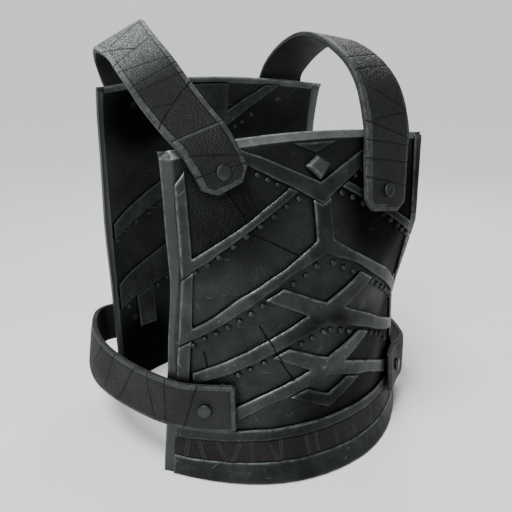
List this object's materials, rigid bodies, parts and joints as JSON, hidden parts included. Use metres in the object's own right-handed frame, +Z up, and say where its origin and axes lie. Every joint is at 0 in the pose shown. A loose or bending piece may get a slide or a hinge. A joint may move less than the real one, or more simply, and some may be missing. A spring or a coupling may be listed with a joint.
{
  "type": "steel breastplate",
  "caption": "Steel cuirass for an adult torso: front and back plates with raised strapwork, hung on thick leather shoulder straps and closed by leather side straps",
  "frame": {"origin": "on the floor, at the middle of the footprint, which is the middle of the bounding box seen from above", "axes": "+Z up, the wearer faces -Y, +X is the wearer's left; the long way of the object is +Z"},
  "size_m": [0.485, 0.385, 0.5357],
  "materials": {
    "plate_steel": "dark worn sheet steel with fine scratches, hairline cracks and a pebbled patina",
    "band_steel": "dark satin steel, worn bright along the edges",
    "inner_band_steel": "dull dark steel",
    "rivet_steel": "worn dark steel, brighter on top",
    "strap_leather": "thick dark grey leather, pebbled grain, creased, with paler worn edges",
    "hem_leather": "thin dark brown leather with scored lines, greying to one side"
  },
  "bodies": {
    "root": {"front_plate": "plate_steel", "back_plate": "plate_steel", "neck_gusset": "plate_steel", "neck_chevron": "band_steel", "brace_left": "band_steel", "brace_right": "band_steel", "yoke": "band_steel", "upper_cross": "band_steel", "lower_cross": "band_steel", "small_chevron": "band_steel", "border_left": "band_steel", "border_right": "band_steel", "waist_band": "band_steel", "foot_band": "band_steel", "lozenge_stud": "band_steel", "back_panel_outer": "band_steel", "back_collar_left_outer": "band_steel", "back_collar_right_outer": "band_steel", "back_chevron_outer": "band_steel", "back_girdle_outer": "band_steel", "back_tab_left_outer": "band_steel", "back_tab_right_outer": "band_steel", "back_panel_inner": "inner_band_steel", "back_collar_left_inner": "inner_band_steel", "back_collar_right_inner": "inner_band_steel", "back_chevron_inner": "inner_band_steel", "back_girdle_inner": "inner_band_steel", "back_tab_left_inner": "inner_band_steel", "back_tab_right_inner": "inner_band_steel", "shoulder_rivet_front_left": "rivet_steel", "shoulder_rivet_front_right": "rivet_steel", "shoulder_rivet_rear_left": "rivet_steel", "shoulder_rivet_rear_right": "rivet_steel", "side_rivet_front_left": "rivet_steel", "side_rivet_front_right": "rivet_steel", "side_rivet_rear_left": "rivet_steel", "side_rivet_rear_right": "rivet_steel", "shoulder_strap_left": "strap_leather", "shoulder_strap_right": "strap_leather", "side_strap_left": "strap_leather", "side_strap_right": "strap_leather", "hem_panel": "hem_leather"}
  },
  "joints": []
}
